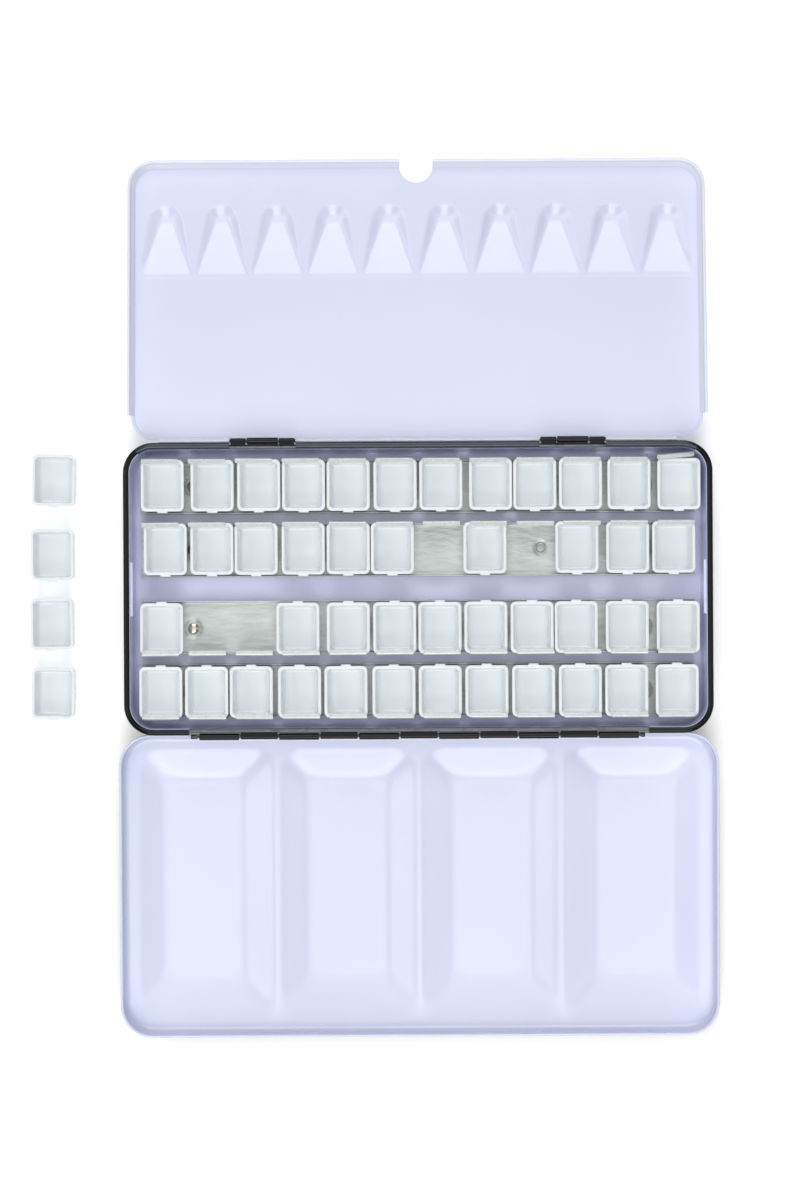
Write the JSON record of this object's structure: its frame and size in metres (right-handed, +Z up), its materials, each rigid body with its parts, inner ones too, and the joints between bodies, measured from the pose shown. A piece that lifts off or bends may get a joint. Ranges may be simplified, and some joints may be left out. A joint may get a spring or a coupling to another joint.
{
  "type": "watercolor pan set",
  "caption": "Hinged enamelled tin paint box lying open, with a folding palette leaf, a mixing lid with wells, spring strips and removable empty half pans.",
  "frame": {"origin": "centre of the tray's flat underside, on the table", "axes": "+X along the hinges, +Y from the lid towards the palette leaf, +Z up"},
  "size_m": [0.2527, 0.3232, 0.016],
  "materials": {
    "enamel_outer": "gloss",
    "enamel_inner": "gloss",
    "tinplate": "satin",
    "rivet_steel": "satin",
    "pin_steel": "satin",
    "pan_plastic": "gloss"
  },
  "bodies": {
    "tray": {"base_tray": "enamel_outer", "pan_strip_1": "tinplate", "pan_strip_2": "tinplate", "pan_strip_3": "tinplate", "pan_strip_4": "tinplate", "strip_rivets": "rivet_steel", "strip_eyelets": "rivet_steel", "lid_hinge_pin": "pin_steel", "leaf_hinge_pins": "pin_steel"},
    "leaf": {"palette_leaf": "enamel_inner"},
    "lid": {"lid": "enamel_inner"},
    "pan_loose_1_body": {"pan_loose_1": "pan_plastic"},
    "pan_loose_2_body": {"pan_loose_2": "pan_plastic"},
    "pan_loose_3_body": {"pan_loose_3": "pan_plastic"},
    "pan_loose_4_body": {"pan_loose_4": "pan_plastic"},
    "pan_r1_01_body": {"pan_r1_01": "pan_plastic"},
    "pan_r1_02_body": {"pan_r1_02": "pan_plastic"},
    "pan_r1_03_body": {"pan_r1_03": "pan_plastic"},
    "pan_r1_04_body": {"pan_r1_04": "pan_plastic"},
    "pan_r1_05_body": {"pan_r1_05": "pan_plastic"},
    "pan_r1_06_body": {"pan_r1_06": "pan_plastic"},
    "pan_r1_07_body": {"pan_r1_07": "pan_plastic"},
    "pan_r1_08_body": {"pan_r1_08": "pan_plastic"},
    "pan_r1_09_body": {"pan_r1_09": "pan_plastic"},
    "pan_r1_10_body": {"pan_r1_10": "pan_plastic"},
    "pan_r1_11_body": {"pan_r1_11": "pan_plastic"},
    "pan_r1_12_body": {"pan_r1_12": "pan_plastic"},
    "pan_r2_01_body": {"pan_r2_01": "pan_plastic"},
    "pan_r2_02_body": {"pan_r2_02": "pan_plastic"},
    "pan_r2_03_body": {"pan_r2_03": "pan_plastic"},
    "pan_r2_04_body": {"pan_r2_04": "pan_plastic"},
    "pan_r2_05_body": {"pan_r2_05": "pan_plastic"},
    "pan_r2_06_body": {"pan_r2_06": "pan_plastic"},
    "pan_r2_08_body": {"pan_r2_08": "pan_plastic"},
    "pan_r2_10_body": {"pan_r2_10": "pan_plastic"},
    "pan_r2_11_body": {"pan_r2_11": "pan_plastic"},
    "pan_r2_12_body": {"pan_r2_12": "pan_plastic"},
    "pan_r3_01_body": {"pan_r3_01": "pan_plastic"},
    "pan_r3_04_body": {"pan_r3_04": "pan_plastic"},
    "pan_r3_05_body": {"pan_r3_05": "pan_plastic"},
    "pan_r3_06_body": {"pan_r3_06": "pan_plastic"},
    "pan_r3_07_body": {"pan_r3_07": "pan_plastic"},
    "pan_r3_08_body": {"pan_r3_08": "pan_plastic"},
    "pan_r3_09_body": {"pan_r3_09": "pan_plastic"},
    "pan_r3_10_body": {"pan_r3_10": "pan_plastic"},
    "pan_r3_11_body": {"pan_r3_11": "pan_plastic"},
    "pan_r3_12_body": {"pan_r3_12": "pan_plastic"},
    "pan_r4_01_body": {"pan_r4_01": "pan_plastic"},
    "pan_r4_02_body": {"pan_r4_02": "pan_plastic"},
    "pan_r4_03_body": {"pan_r4_03": "pan_plastic"},
    "pan_r4_04_body": {"pan_r4_04": "pan_plastic"},
    "pan_r4_05_body": {"pan_r4_05": "pan_plastic"},
    "pan_r4_06_body": {"pan_r4_06": "pan_plastic"},
    "pan_r4_07_body": {"pan_r4_07": "pan_plastic"},
    "pan_r4_08_body": {"pan_r4_08": "pan_plastic"},
    "pan_r4_09_body": {"pan_r4_09": "pan_plastic"},
    "pan_r4_10_body": {"pan_r4_10": "pan_plastic"},
    "pan_r4_11_body": {"pan_r4_11": "pan_plastic"},
    "pan_r4_12_body": {"pan_r4_12": "pan_plastic"}
  },
  "joints": [
    {"name": "leaf_hinge", "type": "hinge", "parent": "tray", "child": "leaf", "pos_m": [0, 0.0541, 0.0148], "axis": [1, 0, 0], "range_deg": [0, 184.18]},
    {"name": "lid_hinge", "type": "hinge", "parent": "tray", "child": "lid", "pos_m": [0, -0.0541, 0.0148], "axis": [-1, 0, 0], "range_deg": [0, 181.29]},
    {"name": "pan_loose_1_lift", "type": "slide", "parent": "tray", "child": "pan_loose_1_body", "axis": [0, 0, -1], "range_m": [-0.03, 0]},
    {"name": "pan_loose_2_lift", "type": "slide", "parent": "tray", "child": "pan_loose_2_body", "axis": [0, 0, -1], "range_m": [-0.03, 0]},
    {"name": "pan_loose_3_lift", "type": "slide", "parent": "tray", "child": "pan_loose_3_body", "axis": [0, 0, -1], "range_m": [-0.03, 0]},
    {"name": "pan_loose_4_lift", "type": "slide", "parent": "tray", "child": "pan_loose_4_body", "axis": [0, 0, -1], "range_m": [-0.03, 0]},
    {"name": "pan_r1_01_lift", "type": "slide", "parent": "tray", "child": "pan_r1_01_body", "axis": [0, 0, -1], "range_m": [-0.03, 0]},
    {"name": "pan_r1_02_lift", "type": "slide", "parent": "tray", "child": "pan_r1_02_body", "axis": [0, 0, -1], "range_m": [-0.03, 0]},
    {"name": "pan_r1_03_lift", "type": "slide", "parent": "tray", "child": "pan_r1_03_body", "axis": [0, 0, -1], "range_m": [-0.03, 0]},
    {"name": "pan_r1_04_lift", "type": "slide", "parent": "tray", "child": "pan_r1_04_body", "axis": [0, 0, -1], "range_m": [-0.03, 0]},
    {"name": "pan_r1_05_lift", "type": "slide", "parent": "tray", "child": "pan_r1_05_body", "axis": [0, 0, -1], "range_m": [-0.03, 0]},
    {"name": "pan_r1_06_lift", "type": "slide", "parent": "tray", "child": "pan_r1_06_body", "axis": [0, 0, -1], "range_m": [-0.03, 0]},
    {"name": "pan_r1_07_lift", "type": "slide", "parent": "tray", "child": "pan_r1_07_body", "axis": [0, 0, -1], "range_m": [-0.03, 0]},
    {"name": "pan_r1_08_lift", "type": "slide", "parent": "tray", "child": "pan_r1_08_body", "axis": [0, 0, -1], "range_m": [-0.03, 0]},
    {"name": "pan_r1_09_lift", "type": "slide", "parent": "tray", "child": "pan_r1_09_body", "axis": [0, 0, -1], "range_m": [-0.03, 0]},
    {"name": "pan_r1_10_lift", "type": "slide", "parent": "tray", "child": "pan_r1_10_body", "axis": [0, 0, -1], "range_m": [-0.03, 0]},
    {"name": "pan_r1_11_lift", "type": "slide", "parent": "tray", "child": "pan_r1_11_body", "axis": [0, 0, -1], "range_m": [-0.03, 0]},
    {"name": "pan_r1_12_lift", "type": "slide", "parent": "tray", "child": "pan_r1_12_body", "axis": [0, 0, -1], "range_m": [-0.03, 0]},
    {"name": "pan_r2_01_lift", "type": "slide", "parent": "tray", "child": "pan_r2_01_body", "axis": [0, 0, -1], "range_m": [-0.03, 0]},
    {"name": "pan_r2_02_lift", "type": "slide", "parent": "tray", "child": "pan_r2_02_body", "axis": [0, 0, -1], "range_m": [-0.03, 0]},
    {"name": "pan_r2_03_lift", "type": "slide", "parent": "tray", "child": "pan_r2_03_body", "axis": [0, 0, -1], "range_m": [-0.03, 0]},
    {"name": "pan_r2_04_lift", "type": "slide", "parent": "tray", "child": "pan_r2_04_body", "axis": [0, 0, -1], "range_m": [-0.03, 0]},
    {"name": "pan_r2_05_lift", "type": "slide", "parent": "tray", "child": "pan_r2_05_body", "axis": [0, 0, -1], "range_m": [-0.03, 0]},
    {"name": "pan_r2_06_lift", "type": "slide", "parent": "tray", "child": "pan_r2_06_body", "axis": [0, 0, -1], "range_m": [-0.03, 0]},
    {"name": "pan_r2_08_lift", "type": "slide", "parent": "tray", "child": "pan_r2_08_body", "axis": [0, 0, -1], "range_m": [-0.03, 0]},
    {"name": "pan_r2_10_lift", "type": "slide", "parent": "tray", "child": "pan_r2_10_body", "axis": [0, 0, -1], "range_m": [-0.03, 0]},
    {"name": "pan_r2_11_lift", "type": "slide", "parent": "tray", "child": "pan_r2_11_body", "axis": [0, 0, -1], "range_m": [-0.03, 0]},
    {"name": "pan_r2_12_lift", "type": "slide", "parent": "tray", "child": "pan_r2_12_body", "axis": [0, 0, -1], "range_m": [-0.03, 0]},
    {"name": "pan_r3_01_lift", "type": "slide", "parent": "tray", "child": "pan_r3_01_body", "axis": [0, 0, -1], "range_m": [-0.03, 0]},
    {"name": "pan_r3_04_lift", "type": "slide", "parent": "tray", "child": "pan_r3_04_body", "axis": [0, 0, -1], "range_m": [-0.03, 0]},
    {"name": "pan_r3_05_lift", "type": "slide", "parent": "tray", "child": "pan_r3_05_body", "axis": [0, 0, -1], "range_m": [-0.03, 0]},
    {"name": "pan_r3_06_lift", "type": "slide", "parent": "tray", "child": "pan_r3_06_body", "axis": [0, 0, -1], "range_m": [-0.03, 0]},
    {"name": "pan_r3_07_lift", "type": "slide", "parent": "tray", "child": "pan_r3_07_body", "axis": [0, 0, -1], "range_m": [-0.03, 0]},
    {"name": "pan_r3_08_lift", "type": "slide", "parent": "tray", "child": "pan_r3_08_body", "axis": [0, 0, -1], "range_m": [-0.03, 0]},
    {"name": "pan_r3_09_lift", "type": "slide", "parent": "tray", "child": "pan_r3_09_body", "axis": [0, 0, -1], "range_m": [-0.03, 0]},
    {"name": "pan_r3_10_lift", "type": "slide", "parent": "tray", "child": "pan_r3_10_body", "axis": [0, 0, -1], "range_m": [-0.03, 0]},
    {"name": "pan_r3_11_lift", "type": "slide", "parent": "tray", "child": "pan_r3_11_body", "axis": [0, 0, -1], "range_m": [-0.03, 0]},
    {"name": "pan_r3_12_lift", "type": "slide", "parent": "tray", "child": "pan_r3_12_body", "axis": [0, 0, -1], "range_m": [-0.03, 0]},
    {"name": "pan_r4_01_lift", "type": "slide", "parent": "tray", "child": "pan_r4_01_body", "axis": [0, 0, -1], "range_m": [-0.03, 0]},
    {"name": "pan_r4_02_lift", "type": "slide", "parent": "tray", "child": "pan_r4_02_body", "axis": [0, 0, -1], "range_m": [-0.03, 0]},
    {"name": "pan_r4_03_lift", "type": "slide", "parent": "tray", "child": "pan_r4_03_body", "axis": [0, 0, -1], "range_m": [-0.03, 0]},
    {"name": "pan_r4_04_lift", "type": "slide", "parent": "tray", "child": "pan_r4_04_body", "axis": [0, 0, -1], "range_m": [-0.03, 0]},
    {"name": "pan_r4_05_lift", "type": "slide", "parent": "tray", "child": "pan_r4_05_body", "axis": [0, 0, -1], "range_m": [-0.03, 0]},
    {"name": "pan_r4_06_lift", "type": "slide", "parent": "tray", "child": "pan_r4_06_body", "axis": [0, 0, -1], "range_m": [-0.03, 0]},
    {"name": "pan_r4_07_lift", "type": "slide", "parent": "tray", "child": "pan_r4_07_body", "axis": [0, 0, -1], "range_m": [-0.03, 0]},
    {"name": "pan_r4_08_lift", "type": "slide", "parent": "tray", "child": "pan_r4_08_body", "axis": [0, 0, -1], "range_m": [-0.03, 0]},
    {"name": "pan_r4_09_lift", "type": "slide", "parent": "tray", "child": "pan_r4_09_body", "axis": [0, 0, -1], "range_m": [-0.03, 0]},
    {"name": "pan_r4_10_lift", "type": "slide", "parent": "tray", "child": "pan_r4_10_body", "axis": [0, 0, -1], "range_m": [-0.03, 0]},
    {"name": "pan_r4_11_lift", "type": "slide", "parent": "tray", "child": "pan_r4_11_body", "axis": [0, 0, -1], "range_m": [-0.03, 0]},
    {"name": "pan_r4_12_lift", "type": "slide", "parent": "tray", "child": "pan_r4_12_body", "axis": [0, 0, -1], "range_m": [-0.03, 0]}
  ]
}
